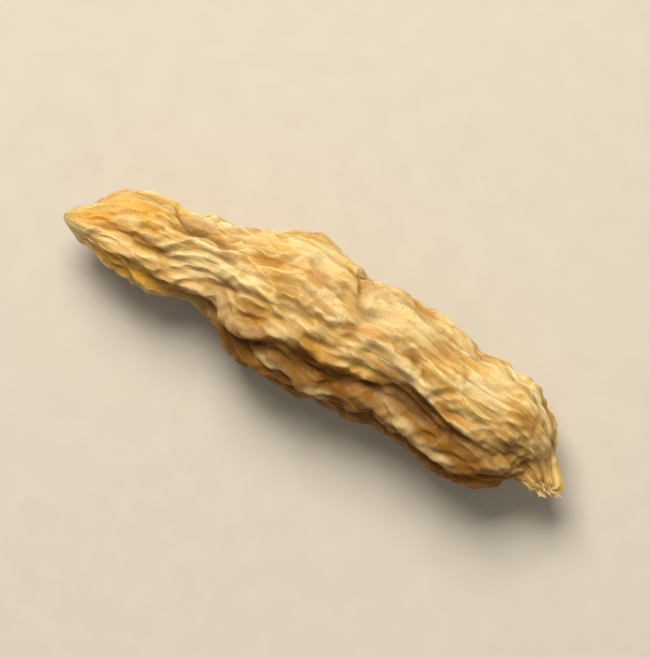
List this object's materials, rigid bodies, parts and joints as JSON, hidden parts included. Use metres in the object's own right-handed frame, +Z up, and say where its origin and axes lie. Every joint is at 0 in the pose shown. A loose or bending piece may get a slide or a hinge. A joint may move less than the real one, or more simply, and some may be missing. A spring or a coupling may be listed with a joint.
{
  "type": "ophiopogon tuber",
  "caption": "One dried ophiopogon tuber: a bent, knobbly spindle with wavy lengthwise wrinkles, a blunt tip and a short broken root stub.",
  "frame": {"origin": "on the surface that the tuber lies on, under the middle of its box", "axes": "+Z up off the surface, +X along the tuber from its slender tip to its stub, so +Y points to the far side, which has the hump"},
  "size_m": [0.0272, 0.0082, 0.0059],
  "materials": {
    "dried_skin": "satin"
  },
  "bodies": {
    "root": {"tuber": "dried_skin"}
  },
  "joints": []
}
